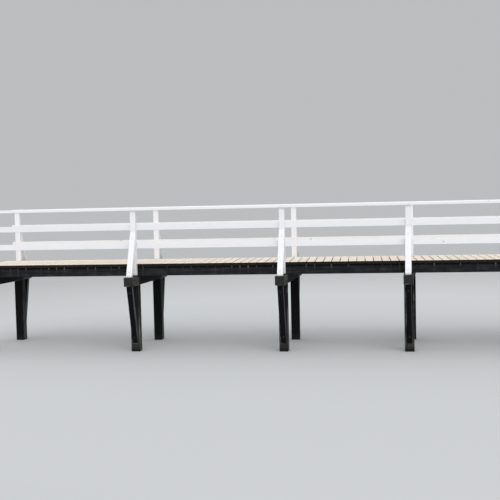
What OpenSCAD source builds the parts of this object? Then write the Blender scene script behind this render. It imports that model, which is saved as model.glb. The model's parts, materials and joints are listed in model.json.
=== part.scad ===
// Timber footbridge on braced pile bents, with painted railings on raking struts.
// Millimetres. +X runs along the bridge, +Y from the near side to the far side, +Z up.
// The origin is at the middle of the bridge, on the level of the pile feet.

/* [Spans] */
// Length of each end bay, between the centres of its bents
end_bay = 2780; // [1800:10:3800]
// Length of the bay beside each end bay
side_bay = 2650; // [1800:10:3800]
// Length of the middle bay
middle_bay = 2160; // [1400:10:3800]
// Deck beyond the centre of each end bent
end_overhang = 180; // [150:5:300]
// Angle by which the bents stand off square, seen from above, in degrees
bent_skew = 5; // [0:0.5:8]

/* [Deck] */
// Height of the walking surface above the pile feet
deck_height = 1560; // [1200:10:2600]
// Clear width between the near and the far posts
clear_width = 1200; // [900:10:1800]
// Width of a deck board
board_w = 133; // [90:5:200]
// Thickness of a deck board
board_t = 50; // [30:1:60]
// Gap wanted between deck boards
board_gap = 12.5; // [4:0.5:15]
// Reach of the deck boards past the edge beams
board_reach = 18; // [5:1:30]
// Play round a post where a deck board is notched
notch_play = 3; // [1:0.5:6]

/* [Beams] */
// Width of the edge beams and stringers
beam_w = 70; // [50:5:120]
// Depth of the edge beams and stringers
beam_d = 165; // [120:5:260]
// Distance of each inner stringer from the middle of the deck
stringer_y = 195; // [120:5:260]
// Gap at a butt joint between two lengths of timber
joint_gap = 2; // [1:0.5:4]

/* [Bents] */
// Side of the square cap beams
cap_s = 160; // [120:5:220]
// Reach of a cap beam past the outer face of the posts
cap_reach = 310; // [260:5:500]
// Side of the square piles
pile_s = 160; // [120:5:200]
// Reach of the piles past the outer face of the edge beams
pile_out = 110; // [60:5:150]

/* [Lower braces] */
// Width of a lower brace, along the bridge
brace_w = 100; // [70:5:140]
// Thickness of a lower brace
brace_t = 70; // [40:5:100]
// Distance of a brace from the end of its cap beam
brace_inset = 40; // [10:5:80]
// Height of a brace's toe above the pile feet
toe_z = 140; // [60:5:300]

/* [Railings] */
// Width of a post, along the bridge
post_w = 95; // [70:5:140]
// Thickness of a post, across the bridge
post_t = 70; // [50:5:100]
// Gap under a post's foot, which keeps its end grain off the cap beam
foot_gap = 12; // [5:1:30]
// Height of the handrail's top above the deck
rail_height = 1000; // [900:10:1200]
// Thickness of the handrail
handrail_t = 50; // [35:1:70]
// Width of the handrail
handrail_w = 130; // [100:5:180]
// Chamfer along the handrail's upper edges
handrail_c = 8; // [3:1:15]
// Depth of the middle and the low rail
rail_d = 102; // [70:1:130]
// Thickness of the middle and the low rail
rail_t = 30; // [20:1:45]
// Underside of the middle rail above the deck
mid_rail_z = 600; // [480:5:700]
// Underside of the low rail above the deck
low_rail_z = 272; // [120:2:320]
// Reach of the rails past the end posts
rail_reach = 45; // [20:5:80]

/* [Struts] */
// Width of a strut, along the bridge
strut_w = 100; // [70:5:140]
// Thickness of a strut
strut_t = 60; // [40:5:90]
// Distance of a strut's foot from the end of its cap beam
strut_inset = 45; // [20:5:120]
// Space between a strut's top and the middle rail above it
strut_drop = 30; // [5:5:120]

/* [Hidden] */
// Bents run from 1 at the -X end to 6 at the +X end
BENT_X = [
    -middle_bay / 2 - side_bay - end_bay,
    -middle_bay / 2 - side_bay,
    -middle_bay / 2,
    middle_bay / 2,
    middle_bay / 2 + side_bay,
    middle_bay / 2 + side_bay + end_bay
];
BENTS = len(BENT_X);
BAYS = BENTS - 1;
SIDES = [-1, 1];
// Bents where the rails are joined: no length is over 6 m
RAIL_JOINTS = [3, 4];

deck_end = BENT_X[BENTS - 1] + end_overhang;

// Levels, from the top down
beam_top = deck_height - board_t;
cap_top = beam_top - beam_d;
cap_under = cap_top - cap_s;
post_top = deck_height + rail_height - handrail_t;
strut_top = deck_height + mid_rail_z - strut_drop;

// Places across the bridge, from the middle outwards
post_in = clear_width / 2;
post_mid = post_in + post_t / 2;
post_out = post_in + post_t;
cap_end = post_out + cap_reach;
pile_face = post_in + pile_out;

// How far a bent has moved along the bridge at a distance y across it, +Y being the far side
function skew_at(y) = y * tan(bent_skew);

// As many boards as the deck takes, with the space left over shared among the gaps
board_count = round((2 * deck_end + board_gap) / (board_w + board_gap));
board_pitch = (2 * deck_end - board_w) / (board_count - 1);
board_len = 2 * (post_in + board_reach);

// A squared timber between three pairs of limits
module timber(x, y, z) {
    translate([x[0], y[0], z[0]]) cube([x[1] - x[0], y[1] - y[0], z[1] - z[0]]);
}

// Puts a piece drawn for the +Y side on the side that is asked for
module on_side(side) {
    mirror([0, side < 0 ? 1 : 0, 0]) children();
}

// Extrudes an outline of [distance from the middle, height] points along the bridge, centred on x
module across(x, width, outline) {
    translate([x - width / 2, 0, 0])
        rotate([90, 0, 90]) linear_extrude(height = width) polygon(outline);
}

// A piece with such an outline whose sides follow the skew of the bent at x
module raked(x, width, side, outline) {
    corners = [[-1, 0], [1, 0], [1, cap_end], [-1, cap_end]];
    on_side(side)
        intersection() {
            across(x, 2 * (cap_end + width), outline);
            linear_extrude(height = post_top)
                polygon([for (c = corners) [x + c[0] * width / 2 + side * skew_at(c[1]), c[1]]]);
        }
}

// Board i runs across the deck, and is notched where it meets a post
module deck_board(i) {
    x0 = -deck_end + i * board_pitch;
    hole = post_w / 2 + notch_play;
    met = [
        for (bx = BENT_X, side = SIDES)
            let (px = bx + side * skew_at(post_mid))
            if (x0 < px + hole && x0 + board_w > px - hole) [px, side]
    ];
    difference() {
        timber([x0, x0 + board_w], [-board_len / 2, board_len / 2], [beam_top, deck_height]);
        for (m = met)
            on_side(m[1])
                timber([m[0] - hole, m[0] + hole], [post_in - notch_play, board_len], [0, 2 * deck_height]);
    }
}

// The end bays also take the boards past the end bents
module deck_boards(bay) {
    from = bay == 1 ? -deck_end : BENT_X[bay - 1];
    to = bay == BAYS ? deck_end : BENT_X[bay];
    for (i = [0:board_count - 1])
        if (-deck_end + i * board_pitch + board_w / 2 >= from && -deck_end + i * board_pitch + board_w / 2 < to)
            deck_board(i);
}

// Lengths from bent to bent, each with half of a cap beam to bear on
module beam_line(side, inner_face) {
    shift = side * skew_at(inner_face + beam_w / 2);
    on_side(side)
        for (bay = [1:BAYS])
            timber(
                [bay == 1 ? -deck_end : BENT_X[bay - 1] + shift + joint_gap / 2,
                 bay == BAYS ? deck_end : BENT_X[bay] + shift - joint_gap / 2],
                [inner_face, inner_face + beam_w],
                [cap_top, beam_top]);
}

module edge_beam(side) {
    beam_line(side, post_in - beam_w);
}

module inner_stringers() {
    for (side = SIDES)
        beam_line(side, stringer_y - beam_w / 2);
}

// Its sides follow the skew, and its ends are cut in line with the deck's edges
module cap_beam(bent) {
    x = BENT_X[bent - 1];
    corners = [[-1, -1], [1, -1], [1, 1], [-1, 1]];
    translate([0, 0, cap_under])
        linear_extrude(height = cap_s)
            polygon([for (c = corners) [x + c[0] * cap_s / 2 + skew_at(c[1] * cap_end), c[1] * cap_end]]);
}

module piles(bent) {
    for (side = SIDES) {
        x = BENT_X[bent - 1] + side * skew_at(pile_face - pile_s / 2);
        on_side(side)
            timber([x - pile_s / 2, x + pile_s / 2], [pile_face - pile_s, pile_face], [0, cap_under]);
    }
}

// Rakes from under the cap beam's end down to the pile's face
module lower_braces(bent) {
    head = cap_end - brace_inset;
    rake = atan2(head - pile_face, cap_under - toe_z);
    outline = [
        [head, cap_under],
        [head - brace_t / cos(rake), cap_under],
        [pile_face, toe_z + brace_t / sin(rake)],
        [pile_face, toe_z]
    ];
    for (side = SIDES)
        raked(BENT_X[bent - 1], brace_w, side, outline);
}

// Fixed to the outer face of the edge beams, with their feet just clear of the cap beam
module posts(bent) {
    for (side = SIDES) {
        x = BENT_X[bent - 1] + side * skew_at(post_mid);
        on_side(side)
            timber([x - post_w / 2, x + post_w / 2], [post_in, post_out], [cap_top + foot_gap, post_top]);
    }
}

// Rakes from the cap beam's end to the post's outer face, just under the middle rail
module struts(bent) {
    foot = cap_end - strut_inset;
    rake = atan2(foot - post_out, strut_top - cap_top);
    outline = [
        [foot, cap_top],
        [post_out, strut_top],
        [post_out, strut_top - strut_t / sin(rake)],
        [foot - strut_t / cos(rake), cap_top]
    ];
    for (side = SIDES)
        raked(BENT_X[bent - 1], strut_w, side, outline);
}

// A rail runs from end post to end post, in lengths that are joined over the posts of RAIL_JOINTS
module rail_lengths(side, outline) {
    past = post_w / 2 + rail_reach;
    stops = concat([BENT_X[0] - past], [for (b = RAIL_JOINTS) BENT_X[b - 1]], [BENT_X[BENTS - 1] + past]);
    last = len(stops) - 2;
    for (i = [0:last]) {
        x0 = stops[i] + (i == 0 ? 0 : joint_gap / 2) + side * skew_at(post_mid);
        x1 = stops[i + 1] - (i == last ? 0 : joint_gap / 2) + side * skew_at(post_mid);
        on_side(side) across((x0 + x1) / 2, x1 - x0, outline);
    }
}

// Lies flat on the posts, with its upper edges eased
module handrail(side) {
    in = (post_in + post_out - handrail_w) / 2;
    out = in + handrail_w;
    top = post_top + handrail_t;
    rail_lengths(side, [
        [in, post_top], [out, post_top],
        [out, top - handrail_c], [out - handrail_c, top],
        [in + handrail_c, top], [in, top - handrail_c]
    ]);
}

// Fixed to the inner face of the posts
module rail(side, z) {
    rail_lengths(side, [
        [post_in - rail_t, deck_height + z], [post_in, deck_height + z],
        [post_in, deck_height + z + rail_d], [post_in - rail_t, deck_height + z + rail_d]
    ]);
}

for (bay = [1:BAYS])
    color("bisque") deck_boards(bay);
color("darkslategray") edge_beam(-1);  // near_edge_beam
color("darkslategray") edge_beam(1);  // far_edge_beam
color("darkslategray") inner_stringers();
for (bent = [1:BENTS]) {
    color("dimgray") cap_beam(bent);
    color("gray") piles(bent);
    color("black") lower_braces(bent);
    color("white") posts(bent);
    color("whitesmoke") struts(bent);
}
color("white") handrail(-1);  // near_handrail
color("white") handrail(1);  // far_handrail
color("white") rail(-1, mid_rail_z);  // near_mid_rail
color("white") rail(1, mid_rail_z);  // far_mid_rail
color("white") rail(-1, low_rail_z);  // near_low_rail
color("white") rail(1, low_rail_z);  // far_low_rail
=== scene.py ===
# %% [markdown]
# A low timber footbridge stands on six pairs of braced piles. Its deck is bare boards, its beams, braces
# and piles are black, and its railings are painted white. The part's solids are exact but bare, so this
# lesson dresses them: it eases the arrises of each timber, adds the bolts and nails, and gives each finish
# its wear. The solids come in as a fixed frame, in metres, and every new piece takes its place from them.

# %% Load the frame
import json
import math
import random

import bmesh
import bpy
from mathutils import Euler, Matrix, Vector

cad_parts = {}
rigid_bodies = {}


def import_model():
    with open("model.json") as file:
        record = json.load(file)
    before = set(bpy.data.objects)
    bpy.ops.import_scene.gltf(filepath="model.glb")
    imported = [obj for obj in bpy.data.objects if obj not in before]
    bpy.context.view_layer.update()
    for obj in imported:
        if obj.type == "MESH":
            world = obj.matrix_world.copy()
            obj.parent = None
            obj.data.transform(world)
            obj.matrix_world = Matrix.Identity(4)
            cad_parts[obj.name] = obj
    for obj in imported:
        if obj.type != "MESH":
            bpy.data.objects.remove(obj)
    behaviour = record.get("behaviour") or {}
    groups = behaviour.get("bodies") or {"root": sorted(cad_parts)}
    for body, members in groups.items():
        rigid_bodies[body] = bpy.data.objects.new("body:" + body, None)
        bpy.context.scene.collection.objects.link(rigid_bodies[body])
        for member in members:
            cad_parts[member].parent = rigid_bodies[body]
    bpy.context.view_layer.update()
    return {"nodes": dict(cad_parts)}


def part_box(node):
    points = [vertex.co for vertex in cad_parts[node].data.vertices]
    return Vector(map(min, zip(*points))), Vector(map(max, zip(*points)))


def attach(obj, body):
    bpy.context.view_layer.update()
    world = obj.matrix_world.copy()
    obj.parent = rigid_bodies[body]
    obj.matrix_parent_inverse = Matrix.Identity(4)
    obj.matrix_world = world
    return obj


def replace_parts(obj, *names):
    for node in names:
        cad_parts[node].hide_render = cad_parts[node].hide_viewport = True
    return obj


for left_over in list(bpy.data.objects):
    bpy.data.objects.remove(left_over)
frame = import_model()

# %% [markdown]
# A node's mesh from the frame is loose triangles. It stays as it is, and a copy is worked on: merging the
# doubles closes the copy, and a limited dissolve turns the triangles of each flat face back into one face.
# After that the mesh has the edges that a joiner would see, so they can be found by their angle and
# bevelled.

# %% Take a clean copy of a node
MERGE_DISTANCE = 1e-5
FLAT_ANGLE = math.radians(1)
ARRIS_ANGLE = math.radians(20)


def copy_of(node):
    """A closed copy of a node's mesh, with one face for each flat side."""
    bm = bmesh.new()
    bm.from_mesh(frame["nodes"][node].data)
    bmesh.ops.remove_doubles(bm, verts=bm.verts, dist=MERGE_DISTANCE)
    bmesh.ops.dissolve_limit(bm, angle_limit=FLAT_ANGLE, verts=bm.verts, edges=bm.edges)
    return bm


def ease_arrises(bm, width):
    """Rounds every arris, as a plane or years of weather leave it."""
    arrises = [e for e in bm.edges if e.calc_face_angle(0.0) > ARRIS_ANGLE]
    bmesh.ops.bevel(bm, geom=arrises, offset=width, segments=2, profile=0.5, affect="EDGES", material=-1,
                    clamp_overlap=True)


trial = copy_of("posts_2")
print("posts_2:", len(frame["nodes"]["posts_2"].data.polygons), "triangles become", len(trial.faces), "faces")
trial.free()

# %% [markdown]
# Grain has to run along each timber, whichever way it lies, so a pattern on plain object coordinates would
# be wrong for all but one direction. Each timber gets its own frame instead: its longest edge gives the way
# of the grain. The place of every vertex in that frame is kept in the attribute lay, the timber's half
# sizes in half, a random number per timber in tone, and the cut ends are marked in end. The materials read
# these four.

# %% Find the separate timbers and how they lie
UP = Vector((0, 0, 1))
FAR = Vector((0, 1, 0))
STEEP = 0.9
END_COSINE = 0.3


def separate_timbers(bm):
    """Lists of linked vertices, one list for each timber, in the order of the mesh."""
    bm.verts.index_update()
    seen = set()
    found = []
    for start in bm.verts:
        if start.index in seen:
            continue
        seen.add(start.index)
        linked = [start]
        for vertex in linked:
            for edge in vertex.link_edges:
                other = edge.other_vert(vertex)
                if other.index not in seen:
                    seen.add(other.index)
                    linked.append(other)
        found.append(linked)
    return found


def frame_of(timber):
    """The timber's middle, its three directions with the grain first, and its half sizes along them."""
    edges = [e for vertex in timber for e in vertex.link_edges]
    longest = max(edges, key=lambda e: round(e.calc_length(), 4))
    along = (longest.verts[1].co - longest.verts[0].co).normalized()
    if max(along, key=abs) < 0:
        along.negate()
    across = (FAR.cross(along) if along.z > STEEP else along.cross(UP)).normalized()
    axes = (along, across, across.cross(along))
    spans = [[vertex.co.dot(axis) for vertex in timber] for axis in axes]
    middle = sum((axis * (min(s) + max(s)) / 2 for axis, s in zip(axes, spans)), Vector())
    return {"middle": middle, "axes": axes, "half": Vector([(max(s) - min(s)) / 2 for s in spans])}


def mark_timbers(bm, seed):
    """Writes lay, half, tone and end, and gives back the frame of each timber."""
    layers = bm.verts.layers
    lay, half = layers.float_vector.new("lay"), layers.float_vector.new("half")
    tone = layers.float.new("tone")
    end = bm.faces.layers.float.new("end")
    bm.normal_update()
    chance = random.Random(seed)
    frames = []
    for timber in separate_timbers(bm):
        placed = frame_of(timber)
        number = chance.random()
        for vertex in timber:
            vertex[lay] = [(vertex.co - placed["middle"]).dot(axis) for axis in placed["axes"]]
            vertex[half] = placed["half"]
            vertex[tone] = number
            for face in vertex.link_faces:
                face[end] = float(abs(face.normal.dot(placed["axes"][0])) > END_COSINE)
        frames.append(placed)
    return frames


trial = copy_of("struts_2")
for placed in mark_timbers(trial, 1):
    print("strut in bent 2: middle", tuple(round(c, 3) for c in placed["middle"]), "grain",
          tuple(round(c, 3) for c in placed["axes"][0]))
trial.free()

# %% [markdown]
# Shader nodes are easier to read when each is made by one short call. These helpers add a node, set it, and
# fill or wire its inputs. Effects that several finishes share are made once as node groups below.

# %% Helpers for shader nodes


def add(tree, kind, sockets=(), **settings):
    """Adds a node. A socket is given by name or number, as a plain value or as another node's output."""
    made = tree.nodes.new(kind)
    for name, value in settings.items():
        setattr(made, name, value)
    for name, value in dict(sockets).items():
        if isinstance(value, bpy.types.NodeSocket):
            tree.links.new(value, made.inputs[name])
        else:
            made.inputs[name].default_value = value
    return made


def sums(tree, operation, first, second=0.0, clamp=False):
    """One step of arithmetic on two numbers."""
    return add(tree, "ShaderNodeMath", {0: first, 1: second}, operation=operation, use_clamp=clamp).outputs[0]


def vectors(tree, operation, first, second=(0, 0, 0)):
    """One step of arithmetic on two vectors."""
    return add(tree, "ShaderNodeVectorMath", {0: first, 1: second}, operation=operation).outputs[0]


def fade(tree, value, start, stop):
    """0 at start and 1 at stop, and held there outside them."""
    sockets = {"Value": value, "From Min": start, "From Max": stop}
    return add(tree, "ShaderNodeMapRange", sockets, clamp=True).outputs[0]


def scaled(tree, value, factor, offset):
    """A value times a factor, plus an offset."""
    return add(tree, "ShaderNodeMath", {0: value, 1: factor, 2: offset}, operation="MULTIPLY_ADD").outputs[0]


def colours(tree, amount, first, second):
    """From the first colour to the second by an amount."""
    return add(tree, "ShaderNodeMix", {0: amount, 6: first, 7: second}, data_type="RGBA").outputs[2]


def layer(tree, under, mask, share, over):
    """A colour laid over another where a mask is 1, at a share of its full strength."""
    return colours(tree, sums(tree, "MULTIPLY", mask, share), under, over)


def noise(tree, place, scale, detail=4.0, roughness=0.55):
    """Smooth noise, from 0 to 1."""
    sockets = {"Vector": place, "Scale": scale, "Detail": detail, "Roughness": roughness}
    return add(tree, "ShaderNodeTexNoise", sockets).outputs[0]


def attribute(tree, name, output):
    """What a mesh carries under that name."""
    return add(tree, "ShaderNodeAttribute", attribute_name=name).outputs[output]


def object_place(tree):
    """The place on the bridge, then its x, y and z on their own."""
    place = add(tree, "ShaderNodeTexCoord").outputs["Object"]
    return (place, *add(tree, "ShaderNodeSeparateXYZ", {0: place}).outputs)


def start_group(name, inputs, outputs):
    """A new node group, with the sockets of its two ends."""
    tree = bpy.data.node_groups.new(name, "ShaderNodeTree")
    for label, value in inputs.items():
        socket = tree.interface.new_socket(label, in_out="INPUT", socket_type="NodeSocketFloat")
        socket.default_value = value
    for label in outputs:
        tree.interface.new_socket(label, in_out="OUTPUT", socket_type="NodeSocketFloat")
    return tree, add(tree, "NodeGroupInput").outputs, add(tree, "NodeGroupOutput").inputs


print("shader helpers ready")

# %% [markdown]
# Sawn softwood shows long fibres, hairline drying cracks that follow them, and a knot here and there. All
# are noise on the attribute lay, squeezed along the grain. Slow noise bends the lines and swells them round
# a knot, as real grain does. The timber's tone shifts the pattern, so that no two timbers repeat. The group
# gives only masks, so bare, stained and painted timber can each use them differently.

# %% The grain group
GRAIN_VALUES = {"Fibre Scale": 9.0, "Crack Start": 0.62, "Knot Share": 0.35}
GRAIN, grain_in, grain_out = start_group("Timber Grain", GRAIN_VALUES, ["Fibre", "Band", "Crack", "Knot"])
grain_shift = vectors(GRAIN, "SCALE", (41.0, 13.0, 29.0))
GRAIN.links.new(attribute(GRAIN, "tone", "Fac"), grain_shift.node.inputs["Scale"])
straight = vectors(GRAIN, "ADD", attribute(GRAIN, "lay", "Vector"), grain_shift)
bend_place = vectors(GRAIN, "MULTIPLY", straight, (1.3, 5.0, 5.0))
bend = sums(GRAIN, "MULTIPLY", noise(GRAIN, bend_place, 1.0, 2.0), 0.02)
bent_aside = add(GRAIN, "ShaderNodeCombineXYZ", {"Y": bend, "Z": bend}).outputs[0]
grain_place = vectors(GRAIN, "ADD", straight, bent_aside)
fibre_place = vectors(GRAIN, "MULTIPLY", grain_place, (0.5, 34.0, 34.0))
fibre = noise(GRAIN, fibre_place, grain_in["Fibre Scale"], 5.0, 0.6)
band_place = vectors(GRAIN, "MULTIPLY", grain_place, (0.35, 14.0, 14.0))
band = fade(GRAIN, noise(GRAIN, band_place, 4.0, 3.0), 0.35, 0.65)
crack_place = vectors(GRAIN, "MULTIPLY", grain_place, (0.8, 75.0, 75.0))
crack = fade(GRAIN, noise(GRAIN, crack_place, 2.6, 2.0), grain_in["Crack Start"],
             sums(GRAIN, "ADD", grain_in["Crack Start"], 0.05))
knot_place = vectors(GRAIN, "MULTIPLY", grain_place, (4.2, 5.5, 5.5))
knot_cells = add(GRAIN, "ShaderNodeTexVoronoi", {"Vector": knot_place, "Scale": 1.0, "Randomness": 1.0})
knot_number = add(GRAIN, "ShaderNodeSeparateColor", {0: knot_cells.outputs["Color"]}).outputs[0]
knot_kept = sums(GRAIN, "LESS_THAN", knot_number, grain_in["Knot Share"])
knot = sums(GRAIN, "MULTIPLY", fade(GRAIN, knot_cells.outputs["Distance"], 0.13, 0.06), knot_kept)
for label, value in (("Fibre", fibre), ("Band", band), ("Crack", crack), ("Knot", knot)):
    GRAIN.links.new(value, grain_out[label])
print("group:", GRAIN.name, len(GRAIN.nodes), "nodes")

# %% [markdown]
# Stain and paint wear off first along the arrises. The distance from an arris follows from the two
# attributes: the half sizes less the place in the timber give the distance from three faces, and the middle
# one of the three is the distance from the nearest arris. Noise breaks the line up, so that the wear comes
# in patches.

# %% The arris wear group
WEAR, wear_in, wear_out = start_group("Arris Wear", {"Width": 0.006, "Patch Scale": 6.0, "Patch Start": 0.5},
                                      ["Worn"])
from_faces = vectors(WEAR, "SUBTRACT", attribute(WEAR, "half", "Vector"),
                     vectors(WEAR, "ABSOLUTE", attribute(WEAR, "lay", "Vector")))
from_end, from_side, from_top = add(WEAR, "ShaderNodeSeparateXYZ", {0: from_faces}).outputs
lesser = sums(WEAR, "MINIMUM", from_end, from_side)
greater = sums(WEAR, "MAXIMUM", from_end, from_side)
from_arris = sums(WEAR, "MAXIMUM", lesser, sums(WEAR, "MINIMUM", greater, from_top))
wear_place = object_place(WEAR)[0]
patches = fade(WEAR, noise(WEAR, wear_place, wear_in["Patch Scale"], 5.0, 0.7), wear_in["Patch Start"],
               sums(WEAR, "ADD", wear_in["Patch Start"], 0.12))
ragged = sums(WEAR, "MULTIPLY", wear_in["Width"], sums(WEAR, "ADD", noise(WEAR, wear_place, 90.0, 2.0), 0.5))
worn = sums(WEAR, "MULTIPLY", fade(WEAR, from_arris, ragged, sums(WEAR, "MULTIPLY", ragged, 0.4)), patches)
WEAR.links.new(worn, wear_out["Worn"])
print("group:", WEAR.name, len(WEAR.nodes), "nodes")

# %% [markdown]
# Weather leaves blotches on level faces, runs down upright ones, and reaches highest near the water, where
# the wood stays dark and wet. This group reads object coordinates, because these marks follow the bridge
# and not the grain of one timber. The foot level and height say from where and how far up the damp goes.

# %% The weather group
WEATHER_VALUES = {"Blotch Scale": 3.0, "Foot Level": 0.0, "Foot Height": 0.1}
WEATHER, weather_in, weather_out = start_group("Weather Marks", WEATHER_VALUES, ["Blotch", "Run", "Damp"])
weather_place, _, _, weather_z = object_place(WEATHER)
blotch = fade(WEATHER, noise(WEATHER, weather_place, weather_in["Blotch Scale"], 6.0, 0.65), 0.35, 0.7)
run_place = vectors(WEATHER, "MULTIPLY", weather_place, (38.0, 38.0, 1.6))
run = fade(WEATHER, noise(WEATHER, run_place, 1.0, 3.0), 0.42, 0.72)
height = sums(WEATHER, "SUBTRACT", weather_z, weather_in["Foot Level"])
uneven = sums(WEATHER, "MULTIPLY", noise(WEATHER, weather_place, 24.0, 4.0), weather_in["Foot Height"])
damp = fade(WEATHER, height, sums(WEATHER, "ADD", weather_in["Foot Height"], uneven), uneven)
for label, value in (("Blotch", blotch), ("Run", run), ("Damp", damp)):
    WEATHER.links.new(value, weather_out[label])
print("group:", WEATHER.name, len(WEATHER.nodes), "nodes")

# %% [markdown]
# What looks outwards fades in the weather. The bridge is symmetric about its middle line, so the side that a
# face looks to, times the side that it stands on, tells which faces look outwards. The same group tells how
# far a face looks along the bridge, and whether a place is outside the deck's edge. These two masks also
# carry painted light and shade: paler painted-lit side faces, and painted shade between the boards and
# under the deck.

# %% The aspect group
ASPECT, aspect_in, aspect_out = start_group("Exposure", {"Deck Edge": 0.62},
                                                  ["Outward", "Sideways", "Outside"])
look = add(ASPECT, "ShaderNodeNewGeometry").outputs["Normal"]
look_x, look_y, _ = add(ASPECT, "ShaderNodeSeparateXYZ", {0: look}).outputs
_, _, stand_y, _ = object_place(ASPECT)
outward = fade(ASPECT, sums(ASPECT, "MULTIPLY", look_y, sums(ASPECT, "SIGN", stand_y)), 0.2, 0.8)
sideways = fade(ASPECT, sums(ASPECT, "ABSOLUTE", look_x), 0.4, 0.8)
past_edge = sums(ASPECT, "SUBTRACT", sums(ASPECT, "ABSOLUTE", stand_y), aspect_in["Deck Edge"])
outside = fade(ASPECT, past_edge, -0.02, 0.08)
for label, value in (("Outward", outward), ("Sideways", sideways), ("Outside", outside)):
    ASPECT.links.new(value, aspect_out[label])
print("group:", ASPECT.name, len(ASPECT.nodes), "nodes")

# %% [markdown]
# Every finish starts as a material with one shader, takes its marks from the shared groups, and ends with a
# relief. These three helpers do that much for each of them, so that a finish below shows only its own
# colours.

# %% Helpers for finishes


def start_material(name):
    """A new material, its node tree and its shader."""
    material = bpy.data.materials.new(name)
    material.use_nodes = True
    return material, material.node_tree, material.node_tree.nodes["Principled BSDF"]


def use(tree, group, sockets=()):
    """Places a node group, fills those inputs that differ from its own values, and gives its outputs."""
    made = add(tree, "ShaderNodeGroup", node_tree=group)
    for name, value in dict(sockets).items():
        made.inputs[name].default_value = value
    return made.outputs


def relief(tree, shader, height, depth):
    """A height as a bump on the shader. A height of 1 stands the given depth above 0, in metres."""
    bump = add(tree, "ShaderNodeBump", {"Height": height, "Distance": depth, "Strength": 1.0})
    tree.links.new(bump.outputs[0], shader.inputs["Normal"])


print("finish helpers ready")

# %% [markdown]
# The railings are white oil paint on sawn timber. It is nearly clean: the knots show through as small grey
# spots, thin cracks follow the grain, the feet of posts and struts hold some dirt, and a few arrises are
# chipped to grey wood. The paint is half glossy, and its relief comes from the fibres underneath.

# %% White paint
WHITE, white_tree, white_shader = start_material("white_paint")
grain = use(white_tree, GRAIN, {"Fibre Scale": 7.0, "Crack Start": 0.70, "Knot Share": 0.4})
wear = use(white_tree, WEAR, {"Width": 0.005, "Patch Scale": 5.0, "Patch Start": 0.6})
weather = use(white_tree, WEATHER, {"Blotch Scale": 2.2, "Foot Level": 1.335, "Foot Height": 0.035})
tone = attribute(white_tree, "tone", "Fac")
paint = colours(white_tree, tone, (0.86, 0.858, 0.885, 1), (0.885, 0.883, 0.90, 1))
paint = layer(white_tree, paint, weather["Blotch"], 0.15, (0.79, 0.79, 0.79, 1))
paint = layer(white_tree, paint, weather["Run"], 0.05, (0.55, 0.56, 0.52, 1))
paint = layer(white_tree, paint, grain["Knot"], 0.6, (0.42, 0.40, 0.38, 1))
paint = layer(white_tree, paint, grain["Crack"], 0.35, (0.46, 0.45, 0.43, 1))
paint = layer(white_tree, paint, wear["Worn"], 0.7, (0.36, 0.34, 0.31, 1))
paint = layer(white_tree, paint, weather["Damp"], 0.6, (0.36, 0.36, 0.33, 1))
white_tree.links.new(paint, white_shader.inputs["Base Color"])
white_shader.inputs["Roughness"].default_value = 0.5
white_height = sums(white_tree, "SUBTRACT", grain["Fibre"], grain["Crack"])
relief(white_tree, white_shader, white_height, 0.0012)
print("material:", WHITE.name, len(white_tree.nodes), "nodes")

# %% [markdown]
# The deck boards are bare and sun-bleached to a pinkish tan, a little different from board to board. Their
# cut ends drink the stain of the beams and are almost black. From a little below the tread the boards' sides
# are painted dark, as painted shade in the gaps, darkest on the sides that face each other across a gap.
# Damp blotches and open cracks make the tread look used.

# %% Bare deck boards
DECK_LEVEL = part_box("deck_boards_bay_1")[1].z
DECK, deck_tree, deck_shader = start_material("bare_deck_boards")
grain = use(deck_tree, GRAIN, {"Fibre Scale": 10.0, "Crack Start": 0.67, "Knot Share": 0.3})
wear = use(deck_tree, WEAR, {"Width": 0.006, "Patch Scale": 8.0, "Patch Start": 0.5})
weather = use(deck_tree, WEATHER, {"Blotch Scale": 1.6})
aspect = use(deck_tree, ASPECT)
tone = attribute(deck_tree, "tone", "Fac")
board = colours(deck_tree, tone, (0.91, 0.81, 0.68, 1), (0.96, 0.875, 0.755, 1))
board = layer(deck_tree, board, grain["Band"], 0.16, (0.80, 0.68, 0.565, 1))
board = layer(deck_tree, board, grain["Fibre"], 0.12, (0.66, 0.54, 0.44, 1))
board = layer(deck_tree, board, weather["Blotch"], 0.12, (0.70, 0.63, 0.55, 1))
board = layer(deck_tree, board, grain["Knot"], 0.7, (0.20, 0.12, 0.075, 1))
board = layer(deck_tree, board, grain["Crack"], 0.5, (0.26, 0.19, 0.145, 1))
board = layer(deck_tree, board, wear["Worn"], 0.35, (0.34, 0.24, 0.18, 1))
_, _, _, deck_z = object_place(deck_tree)
# Painted shade: below the tread the board sides darken, most on the sides that face across a gap.
painted_gap_shade = fade(deck_tree, deck_z, DECK_LEVEL - 0.003, DECK_LEVEL - 0.009)
board = colours(deck_tree, painted_gap_shade, board, (0.11, 0.088, 0.068, 1))
board = layer(deck_tree, board, aspect["Sideways"], painted_gap_shade, (0.030, 0.022, 0.017, 1))
board = colours(deck_tree, attribute(deck_tree, "end", "Fac"), board, (0.0115, 0.0105, 0.010, 1))
deck_tree.links.new(board, deck_shader.inputs["Base Color"])
deck_shader.inputs["Roughness"].default_value = 0.85
deck_shader.inputs["Specular IOR Level"].default_value = 0.25
deck_height = sums(deck_tree, "SUBTRACT", grain["Fibre"], sums(deck_tree, "MULTIPLY", grain["Crack"], 1.5))
relief(deck_tree, deck_shader, deck_height, 0.002)
print("material:", DECK.name, len(deck_tree.nodes), "nodes")
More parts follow.
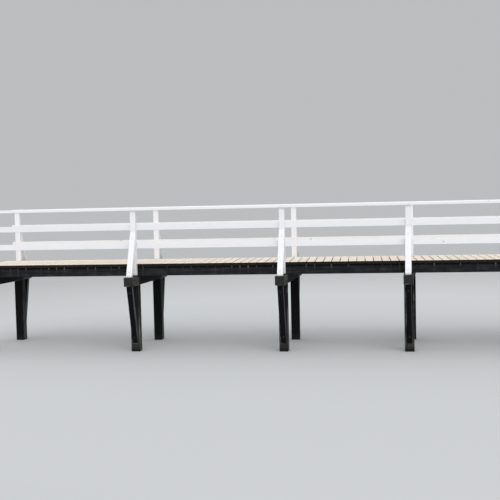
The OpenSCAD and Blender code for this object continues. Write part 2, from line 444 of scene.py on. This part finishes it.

# %% [markdown]
# Beams, cap beams and braces carry a black stain, which weather turns blue-grey where it is thin, outside
# the deck's edge. Under the deck the stain stays black, partly kept stain and partly painted shade. On cap
# beams and braces, faces that look along the bridge outside the deck's edge are painted paler, as painted
# light on those sides. The cut ends are greyer than the long faces, and the arrises are worn down to pale
# grey wood in strips. On the beams, a strip right under the boards' overhang is painted black as its
# shadow, and water that drips through the deck's gaps leaves short pale streaks. The streaks need the pitch
# of the boards, so it is measured from the frame first.

# %% Black stain
board_places = []
trial = copy_of("deck_boards_bay_3")
for board_timber in separate_timbers(trial):
    board_places.append(frame_of(board_timber)["middle"].x)
trial.free()
board_places.sort()
GAP_PITCH = board_places[1] - board_places[0]
GAP_PLACE = (board_places[0] + board_places[1]) / 2
BEAM_FOOT, BEAM_HEAD = (corner.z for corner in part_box("near_edge_beam"))
# The depth of the painted shadow under the boards' overhang, on the beams.
OVERHANG_SHADOW = 0.040
STREAK_EDGE, STREAK_CORE = 0.016, 0.003
print("deck boards every", round(GAP_PITCH, 4), "m")


def below_gaps(tree, x, z, place):
    """Pale streaks down a beam's face, strongest at their head, below the deck's gaps."""
    aside = sums(tree, "PINGPONG", sums(tree, "SUBTRACT", x, GAP_PLACE), GAP_PITCH / 2)
    strength = noise(tree, vectors(tree, "MULTIPLY", place, (9.0, 9.0, 3.0)), 1.0, 3.0)
    reach = sums(tree, "POWER", fade(tree, z, BEAM_FOOT, BEAM_HEAD), 6.0)
    under_gap = fade(tree, aside, STREAK_EDGE, STREAK_CORE)
    streak = sums(tree, "MULTIPLY", under_gap, fade(tree, strength, 0.44, 0.62))
    return sums(tree, "MULTIPLY", streak, sums(tree, "ADD", reach, 0.07), clamp=True)


def stained(name, black, thin, bare, worn_start, cut_end, lit_side_colour=None, streaks=None):
    """Black stained timber: the stain, what shows where it is thin, the bare wood, its ends and painted light
    on its sides.
    """
    material, tree, shader = start_material(name)
    grain = use(tree, GRAIN, {"Fibre Scale": 8.0, "Crack Start": 0.6, "Knot Share": 0.2})
    wear = use(tree, WEAR, {"Width": 0.010, "Patch Scale": 3.5, "Patch Start": worn_start})
    weather = use(tree, WEATHER, {"Blotch Scale": 7.0})
    aspect = use(tree, ASPECT)
    mottled = sums(tree, "MULTIPLY", weather["Blotch"], grain["Band"])
    # Outside the deck's edge the stain weathers thin; under the deck it stays black, partly as painted shade.
    stain = layer(tree, black, mottled, scaled(tree, aspect["Outside"], 0.4, 0.4), thin)
    stain = layer(tree, stain, aspect["Outside"], scaled(tree, weather["Blotch"], 0.5, 0.5), thin)
    # Painted light: faces that look along the bridge, outside the deck's edge, turn paler.
    if lit_side_colour:
        lit_side_share = sums(tree, "MULTIPLY", aspect["Sideways"], aspect["Outside"])
        banded = sums(tree, "ADD", grain["Band"], 0.5)
        stain = colours(tree, sums(tree, "MULTIPLY", lit_side_share, banded, clamp=True), stain, lit_side_colour)
    stain = layer(tree, stain, attribute(tree, "end", "Fac"), 0.8, cut_end)
    stain = layer(tree, stain, wear["Worn"], 0.85, bare)
    if streaks:
        place, x, _, z = object_place(tree)
        # Painted shadow: a black strip on the beams right under the boards' overhang.
        overhang_shadow = fade(tree, z, BEAM_HEAD - OVERHANG_SHADOW, BEAM_HEAD - OVERHANG_SHADOW / 2)
        stain = colours(tree, overhang_shadow, stain, (0.003, 0.003, 0.0035, 1))
        stain = colours(tree, below_gaps(tree, x, z, place), stain, streaks)
    stain = colours(tree, grain["Crack"], stain, (0.004, 0.004, 0.005, 1))
    tree.links.new(stain, shader.inputs["Base Color"])
    shader.inputs["Roughness"].default_value = 0.8
    shader.inputs["Specular IOR Level"].default_value = 0.1
    stain_height = sums(tree, "SUBTRACT", grain["Fibre"], sums(tree, "MULTIPLY", grain["Crack"], 1.5))
    relief(tree, shader, stain_height, 0.002)
    return material


BEAM_STAIN = stained("black_stained_beams", worn_start=0.62,
                     black=(0.0115, 0.012, 0.0145, 1), thin=(0.095, 0.096, 0.100, 1),
                     bare=(0.20, 0.19, 0.18, 1), cut_end=(0.020, 0.019, 0.018, 1),
                     streaks=(0.19, 0.185, 0.165, 1))
CAP_STAIN = stained("weathered_cap_beams", worn_start=0.45,
                    black=(0.006, 0.006, 0.0075, 1), thin=(0.050, 0.049, 0.046, 1),
                    bare=(0.30, 0.29, 0.26, 1), cut_end=(0.028, 0.028, 0.029, 1),
                    lit_side_colour=(0.090, 0.087, 0.075, 1))
BRACE_STAIN = stained("black_stained_braces", worn_start=0.5,
                      black=(0.0025, 0.0025, 0.0045, 1), thin=(0.004, 0.0045, 0.0075, 1),
                      bare=(0.24, 0.24, 0.23, 1), cut_end=(0.006, 0.006, 0.008, 1),
                      lit_side_colour=(0.115, 0.116, 0.126, 1))
print("materials:", BEAM_STAIN.name, CAP_STAIN.name, BRACE_STAIN.name)

# %% [markdown]
# The piles have lost much of their stain on the faces that look outwards, most of all low down, where the
# water washes them. Their side faces are painted paler too, more so low down: partly that washing, partly
# painted light on those sides. The wood between the dark patches is grey-brown, and the foot is dark and
# wet, so it turns glossy there.

# %% Weathered piles
WASHED_FROM, WASHED_TO = 0.15, 0.85
PILE, pile_tree, pile_shader = start_material("weathered_piles")
grain = use(pile_tree, GRAIN, {"Fibre Scale": 6.0, "Crack Start": 0.58, "Knot Share": 0.3})
wear = use(pile_tree, WEAR, {"Width": 0.012, "Patch Scale": 3.0, "Patch Start": 0.45})
weather = use(pile_tree, WEATHER, {"Blotch Scale": 2.6, "Foot Height": 0.08})
aspect = use(pile_tree, ASPECT)
_, _, _, pile_z = object_place(pile_tree)
washed = fade(pile_tree, pile_z, WASHED_TO, WASHED_FROM)
# Painted light and washing: the side faces turn paler, more so low down.
lit_side_share = sums(pile_tree, "MULTIPLY", aspect["Sideways"], scaled(pile_tree, washed, 0.6, 0.14))
open_front = sums(pile_tree, "MULTIPLY", aspect["Outward"], scaled(pile_tree, washed, 0.24, 0.06))
open_share = sums(pile_tree, "ADD", aspect["Outward"], aspect["Sideways"], clamp=True)
uneven_share = sums(pile_tree, "ADD", sums(pile_tree, "MULTIPLY", weather["Blotch"], grain["Band"]), 0.75)
faded_and_lit_share = sums(pile_tree, "ADD", lit_side_share, open_front)
bare_and_lit_share = sums(pile_tree, "MULTIPLY", faded_and_lit_share, uneven_share, clamp=True)
pile = colours(pile_tree, bare_and_lit_share, (0.0065, 0.0066, 0.0075, 1), (0.125, 0.120, 0.108, 1))
pile = layer(pile_tree, pile, wear["Worn"], open_share, (0.20, 0.19, 0.165, 1))
pile = colours(pile_tree, grain["Crack"], pile, (0.008, 0.008, 0.008, 1))
pile = colours(pile_tree, weather["Damp"], pile, (0.012, 0.013, 0.011, 1))
pile_tree.links.new(pile, pile_shader.inputs["Base Color"])
pile_shader.inputs["Specular IOR Level"].default_value = 0.15
pile_tree.links.new(sums(pile_tree, "SUBTRACT", 0.85, sums(pile_tree, "MULTIPLY", weather["Damp"], 0.6)),
                    pile_shader.inputs["Roughness"])
pile_relief = sums(pile_tree, "SUBTRACT", grain["Fibre"], sums(pile_tree, "MULTIPLY", grain["Crack"], 2.0))
relief(pile_tree, pile_shader, pile_relief, 0.003)
print("material:", PILE.name, len(pile_tree.nodes), "nodes")

# %% [markdown]
# Now each node gets a dressed copy that stands for it. One helper does them all, since only the width of
# the arris, the material and the random seed differ. It gives back the frames of the timbers, which later
# tell where the nails and bolts go.

# %% Dress the timbers


def keep_piece(name, bm, material):
    """Makes the mesh an object of the bridge, with its finish."""
    mesh = bpy.data.meshes.new(name)
    bm.to_mesh(mesh)
    bm.free()
    mesh.materials.append(material)
    piece = bpy.data.objects.new(name, mesh)
    bpy.context.scene.collection.objects.link(piece)
    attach(piece, "root")
    return piece


def dress(node, material, arris, seed, settle=None):
    """A dressed copy of a node takes its place. Settle moves single timbers a little before that."""
    bm = copy_of(node)
    ease_arrises(bm, arris)
    if settle:
        settle(bm, random.Random(seed + 0.5))
    frames = mark_timbers(bm, seed)
    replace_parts(keep_piece("dressed_" + node, bm, material), node)
    return frames


BENTS = range(1, 7)
BAYS = range(1, 6)
RAIL_ARRIS, BOARD_ARRIS = 0.003, 0.003
PAINT_ARRIS, STAIN_ARRIS = 0.004, 0.005
CAP_ARRIS, PILE_ARRIS = 0.007, 0.008
posts = {bent: dress(f"posts_{bent}", WHITE, PAINT_ARRIS, 10 + bent) for bent in BENTS}
struts = {bent: dress(f"struts_{bent}", WHITE, PAINT_ARRIS, 20 + bent) for bent in BENTS}
rails = {}
for number, kind in enumerate(("handrail", "mid_rail", "low_rail")):
    for side in ("near", "far"):
        name = f"{side}_{kind}"
        rails[name] = dress(name, WHITE, RAIL_ARRIS, 30 + number * 2 + (side == "far"))
print("painted timbers:", sum(len(v) for group in (posts, struts, rails) for v in group.values()))

# %% [markdown]
# The black timbers are coarser, with wider arrises. The cap beams, braces and piles differ only in finish.

# %% Dress the beams, bents and braces
beams = {}
for number, node in enumerate(("near_edge_beam", "far_edge_beam", "inner_stringers")):
    beams[node] = dress(node, BEAM_STAIN, STAIN_ARRIS, 40 + number)
caps = {bent: dress(f"cap_beam_{bent}", CAP_STAIN, CAP_ARRIS, 50 + bent) for bent in BENTS}
braces = {bent: dress(f"lower_braces_{bent}", BRACE_STAIN, STAIN_ARRIS, 60 + bent)
          for bent in BENTS}
piles = {bent: dress(f"piles_{bent}", PILE, PILE_ARRIS, 70 + bent) for bent in BENTS}
print("black timbers:", sum(len(v) for group in (beams, caps, braces, piles) for v in group.values()))

# %% [markdown]
# Deck boards are never laid quite alike: one end stands out a little more, and one board is a hair lower
# than the next. Each board is moved by up to two millimetres, which is less than the play at the notches.

# %% Lay the deck boards
LAID_ASIDE = 0.002
LAID_LOW = 0.0015


def lay_unevenly(bm, chance):
    """Moves each board a little along itself and down."""
    for board in separate_timbers(bm):
        shift = Vector((0, chance.uniform(-LAID_ASIDE, LAID_ASIDE), -chance.uniform(0, LAID_LOW)))
        bmesh.ops.translate(bm, verts=board, vec=shift)


boards = {bay: dress(f"deck_boards_bay_{bay}", DECK, BOARD_ARRIS, 80 + bay, lay_unevenly)
          for bay in BAYS}
print("deck boards:", {bay: len(found) for bay, found in boards.items()})

# %% [markdown]
# Steel fixings come in three finishes. Those in white timber are painted over with it, those in black
# timber are stained over, and the nails are bare, dulled and lightly rusted. Rust comes from noise, which
# also drives the metallic share of the bare steel.

# %% Steel finishes
STEEL, steel_tree, steel_shader = start_material("dull_galvanised_steel")
weather = use(steel_tree, WEATHER, {"Blotch Scale": 60.0})
steel = colours(steel_tree, weather["Blotch"], (0.16, 0.16, 0.17, 1), (0.09, 0.045, 0.025, 1))
steel_tree.links.new(steel, steel_shader.inputs["Base Color"])
metallic = sums(steel_tree, "SUBTRACT", 0.9, weather["Blotch"], clamp=True)
steel_tree.links.new(metallic, steel_shader.inputs["Metallic"])
steel_shader.inputs["Roughness"].default_value = 0.55

STAINED_STEEL, dark_tree, dark_shader = start_material("stain_over_steel")
weather = use(dark_tree, WEATHER, {"Blotch Scale": 50.0})
dark = colours(dark_tree, weather["Blotch"], (0.010, 0.010, 0.012, 1), (0.028, 0.019, 0.014, 1))
dark_tree.links.new(dark, dark_shader.inputs["Base Color"])
dark_shader.inputs["Roughness"].default_value = 0.8
dark_shader.inputs["Specular IOR Level"].default_value = 0.15

COATED, coated_tree, coated_shader = start_material("paint_over_steel")
weather = use(coated_tree, WEATHER, {"Blotch Scale": 40.0})
coated = layer(coated_tree, (0.86, 0.86, 0.88, 1), weather["Blotch"], 0.3, (0.66, 0.63, 0.58, 1))
coated_tree.links.new(coated, coated_shader.inputs["Base Color"])
coated_shader.inputs["Roughness"].default_value = 0.45
print("materials:", STEEL.name, STAINED_STEEL.name, COATED.name)

# %% [markdown]
# A coach bolt is a six-sided head on a round washer. Cones with equal ends make both, and a small bevel
# keeps the edges from looking cut out of paper. The helper puts a bolt anywhere, facing along a given
# direction.

# %% A bolt with its washer
WASHER_RADIUS, WASHER_THICK = 0.024, 0.003
HEAD_RADIUS, HEAD_THICK = 0.013, 0.009
SUNK = 0.001


def facing(place, direction):
    """A place for a fixing: its foot at the place and its axis in the direction."""
    return Matrix.Translation(place) @ direction.to_track_quat("Z", "Y").to_matrix().to_4x4()


def add_disc(bm, place, direction, low, high, radius, sides, eased):
    """A disc or a prism between two heights over the place, with its outer rim eased."""
    at = facing(place + direction * (low + high) / 2, direction)
    made = bmesh.ops.create_cone(bm, cap_ends=True, segments=sides, radius1=radius, radius2=radius,
                                 depth=high - low, matrix=at)
    rim = [e for v in made["verts"] for e in v.link_edges
           if all((end.co - place).dot(direction) > high - 1e-5 for end in e.verts)]
    bmesh.ops.bevel(bm, geom=list(dict.fromkeys(rim)), offset=eased, segments=1, profile=0.5, affect="EDGES",
                    material=-1)


def add_bolt(bm, place, direction):
    """A washer and a head on it."""
    add_disc(bm, place, direction, -SUNK, WASHER_THICK, WASHER_RADIUS, 20, 0.0008)
    add_disc(bm, place, direction, WASHER_THICK - SUNK, WASHER_THICK + HEAD_THICK, HEAD_RADIUS, 6, 0.0015)


trial = bmesh.new()
add_bolt(trial, Vector(), UP)
print("a bolt:", len(trial.faces), "faces")
trial.free()

# %% [markdown]
# Each post is bolted to the outer face of the edge beam, with two bolts set askew so that they don't share
# a line of grain. Each strut has a coach screw at its head, into the post, and one at its foot, into the
# cap beam. All of them are painted over. Outwards on a timber is its third direction, turned away from the
# deck.

# %% Bolts in posts and struts
BOLT_ASKEW = 0.018
BOLT_FROM_BEAM = 0.045
STRUT_BOLT_FROM_TOP, STRUT_BOLT_FROM_FOOT = 0.11, 0.10
beam_low, beam_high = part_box("near_edge_beam")
beam_bolts = ((-BOLT_ASKEW, beam_low.z + BOLT_FROM_BEAM), (BOLT_ASKEW, beam_high.z - BOLT_FROM_BEAM))


def outwards(placed):
    """The timber's third direction, away from the middle of the deck."""
    third = placed["axes"][2]
    return third if third.y * placed["middle"].y > 0 else -third


def outer_face(placed):
    """The middle of the timber's outer face."""
    return placed["middle"] + outwards(placed) * placed["half"][2]


bm = bmesh.new()
bolt_count = 0
for bent in BENTS:
    for placed in posts[bent]:
        for aside, level in beam_bolts:
            face = outer_face(placed)
            add_bolt(bm, Vector((face.x + aside, face.y, level)), outwards(placed))
            bolt_count += 1
    for placed in struts[bent]:
        along, reach = placed["axes"][0], placed["half"][0]
        for run_up in (reach - STRUT_BOLT_FROM_TOP, STRUT_BOLT_FROM_FOOT - reach):
            add_bolt(bm, outer_face(placed) + along * run_up, outwards(placed))
            bolt_count += 1
keep_piece("painted_bolts", bm, COATED)
print("painted bolts:", bolt_count)

# %% [markdown]
# Each lower brace is held to the pile by a bolt just above its toe and to the cap beam by one near its
# head.

# %% Bolts in braces
BRACE_BOLT_FROM_END = 0.12
bm = bmesh.new()
bolt_count = 0
for bent in BENTS:
    for placed in braces[bent]:
        along, reach = placed["axes"][0], placed["half"][0]
        for run_up in (reach - BRACE_BOLT_FROM_END, BRACE_BOLT_FROM_END - reach):
            add_bolt(bm, outer_face(placed) + along * run_up, outwards(placed))
            bolt_count += 1
keep_piece("brace_bolts", bm, STAINED_STEEL)
print("brace bolts:", bolt_count)

# %% [markdown]
# The rails are screwed to the inner faces of the posts, four screws to a rail, so that it can't turn. The
# handrail's screws are sunk and filled, because hands slide over them, so they don't show. A screw head is
# a small low cone, because it repeats often.

# %% Screws in the rails
SCREW_RADIUS, SCREW_RISE = 0.006, 0.0015
SCREW_ASIDE, SCREW_UP = 0.024, 0.026
SCREW_SIDES = 8


def add_screw(bm, place, direction, radius=SCREW_RADIUS):
    """A low head on a face."""
    at = facing(place + direction * (SCREW_RISE - SUNK) / 2, direction)
    bmesh.ops.create_cone(bm, cap_ends=True, segments=SCREW_SIDES, radius1=radius, radius2=radius * 0.8,
                          depth=SCREW_RISE + SUNK, matrix=at)


bm = bmesh.new()
for bent in BENTS:
    for placed in posts[bent]:
        side = "far" if placed["middle"].y > 0 else "near"
        inwards = -outwards(placed)
        for kind in ("mid_rail", "low_rail"):
            low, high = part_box(f"{side}_{kind}")
            face_y = low.y if side == "far" else high.y
            for aside in (-SCREW_ASIDE, SCREW_ASIDE):
                for up in (-SCREW_UP, SCREW_UP):
                    place = Vector((placed["middle"].x + aside, face_y, (low.z + high.z) / 2 + up))
                    add_screw(bm, place, inwards)
print("rail screws:", len(bm.faces) // (SCREW_SIDES + 2))
keep_piece("rail_screws", bm, COATED)

# %% [markdown]
# Two nails hold every board on each of the four beams under it: the edge beams and the inner stringers.
# That is over seven hundred, so a nail head has only ten faces. Each is put a little off the line, as a
# hammer does.

# %% Nails in the deck
NAIL_RADIUS = 0.0055
NAIL_ASIDE = 0.038
NAIL_OFF_LINE, NAIL_OFF_PLACE = 0.006, 0.004
nail_lines = sorted({round(placed["middle"].y, 3) for node in beams for placed in beams[node]})
chance = random.Random(7)
bm = bmesh.new()
for bay in BAYS:
    for placed in boards[bay]:
        top = placed["middle"].z + placed["half"][2]
        for line in nail_lines:
            for aside in (-NAIL_ASIDE, NAIL_ASIDE):
                place = Vector((placed["middle"].x + aside + chance.uniform(-NAIL_OFF_PLACE, NAIL_OFF_PLACE),
                                line + chance.uniform(-NAIL_OFF_LINE, NAIL_OFF_LINE), top))
                add_screw(bm, place, UP, NAIL_RADIUS)
print("nail lines:", nail_lines, "nails:", len(bm.faces) // (SCREW_SIDES + 2))
keep_piece("deck_nails", bm, STEEL)

# %% [markdown]
# The stage is a plain pale floor on the level of the pile feet. Far from the bridge it fades, by distance
# in its own coordinates, into the colour that the camera sees behind it, so that no horizon cuts the
# railings. The floor near the bridge is an ordinary surface and keeps its shadow. The backdrop colour is a
# pale grey rather than white, because the railings are white.

# %% The floor
BACKDROP = (0.50, 0.51, 0.52, 1)
FLOOR_COLOUR = (0.56, 0.57, 0.575, 1)
FLOOR_RADIUS = 60.0
FADE_START, FADE_STOP = 8.0, 16.0

bm = bmesh.new()
bmesh.ops.create_circle(bm, cap_ends=True, segments=64, radius=FLOOR_RADIUS)
floor_mesh = bpy.data.meshes.new("floor")
bm.to_mesh(floor_mesh)
bm.free()
floor = bpy.data.objects.new("floor", floor_mesh)
bpy.context.scene.collection.objects.link(floor)

FLOOR, floor_tree, floor_shader = start_material("pale_floor")
floor_shader.inputs["Base Color"].default_value = FLOOR_COLOUR
floor_shader.inputs["Roughness"].default_value = 0.9
floor_shader.inputs["Specular IOR Level"].default_value = 0.1
floor_place = add(floor_tree, "ShaderNodeTexCoord").outputs["Object"]
away = add(floor_tree, "ShaderNodeVectorMath", {0: floor_place}, operation="LENGTH").outputs["Value"]
seen = add(floor_tree, "ShaderNodeLightPath").outputs["Is Camera Ray"]
share = sums(floor_tree, "MULTIPLY", fade(floor_tree, away, FADE_START, FADE_STOP), seen)
plain = add(floor_tree, "ShaderNodeEmission", {"Color": BACKDROP, "Strength": 1.0})
mixed = add(floor_tree, "ShaderNodeMixShader", {0: share, 1: floor_shader.outputs[0], 2: plain.outputs[0]})
floor_tree.links.new(mixed.outputs[0], floor_tree.nodes["Material Output"].inputs["Surface"])
floor_mesh.materials.append(FLOOR)
print("floor radius", FLOOR_RADIUS, "fades from", FADE_START, "to", FADE_STOP)

# %% [markdown]
# The light is an overcast sky: a dome that is brighter overhead than at the horizon, with a broad soft sun
# in front and a little to the right. Level faces come out brighter than upright ones, and the lamps are
# kept low enough that white paint seen from above doesn't clip. The camera, and anything glossy, sees the
# backdrop colour instead of the dome.

# %% Light
SKY_TOP, SKY_SIDE = 0.95, 0.68
SUN_STRENGTH, SUN_SPREAD = 1.2, math.radians(60)
SUN_TURN = (math.radians(48), 0, math.radians(15))

world = bpy.data.worlds.new("overcast")
bpy.context.scene.world = world
world.use_nodes = True
world_tree = world.node_tree
world_tree.nodes.clear()
direction = add(world_tree, "ShaderNodeTexCoord").outputs["Generated"]
upward = add(world_tree, "ShaderNodeSeparateXYZ", {0: direction}).outputs["Z"]
sky_range = {"Value": upward, "From Min": 0.0, "From Max": 0.8, "To Min": SKY_SIDE, "To Max": SKY_TOP}
sky_level = add(world_tree, "ShaderNodeMapRange", sky_range).outputs[0]
sky = add(world_tree, "ShaderNodeBackground", {"Color": (0.97, 0.985, 1.0, 1), "Strength": sky_level})
backdrop = add(world_tree, "ShaderNodeBackground", {"Color": BACKDROP, "Strength": 1.0})
path = add(world_tree, "ShaderNodeLightPath").outputs
looked_at = sums(world_tree, "MAXIMUM", path["Is Camera Ray"],
                 sums(world_tree, "MAXIMUM", path["Is Glossy Ray"], path["Is Transmission Ray"]))
world_mix = add(world_tree, "ShaderNodeMixShader", {0: looked_at, 1: sky.outputs[0], 2: backdrop.outputs[0]})
add(world_tree, "ShaderNodeOutputWorld", {"Surface": world_mix.outputs[0]})

sun_data = bpy.data.lights.new("broad_sun", "SUN")
sun_data.energy = SUN_STRENGTH
sun_data.angle = SUN_SPREAD
sun = bpy.data.objects.new("broad_sun", sun_data)
sun.rotation_euler = Euler(SUN_TURN)
bpy.context.scene.collection.objects.link(sun)
bpy.context.scene.view_settings.view_transform = "Standard"
print("sky", SKY_SIDE, "to", SKY_TOP, "sun", SUN_STRENGTH)

# %% [markdown]
# The camera stands where a fit to the rails, posts and deck edges puts it: across the water, a metre above
# the deck and nearly square on, so that both railings show. It has a slight roll, as a camera in the hand
# does.

# %% Camera
IMAGE_SIZE = 500
FOCAL_PIXELS = 847.4
SENSOR_WIDTH = 36.0
CAMERA_PLACE = Vector((0.1926, -15.2984, 2.6511))
YAW, PITCH, ROLL = -0.1286, -0.0589, -0.0223

camera_data = bpy.data.cameras.new("camera")
camera_data.sensor_width = SENSOR_WIDTH
camera_data.lens = FOCAL_PIXELS * SENSOR_WIDTH / IMAGE_SIZE
camera = bpy.data.objects.new("camera", camera_data)
turn = Euler((math.pi / 2 + PITCH, 0, -YAW)).to_matrix() @ Matrix.Rotation(ROLL, 3, "Z")
camera.matrix_world = Matrix.Translation(CAMERA_PLACE) @ turn.to_4x4()
bpy.context.scene.collection.objects.link(camera)
bpy.context.scene.camera = camera
print("lens", round(camera_data.lens, 2), "mm")
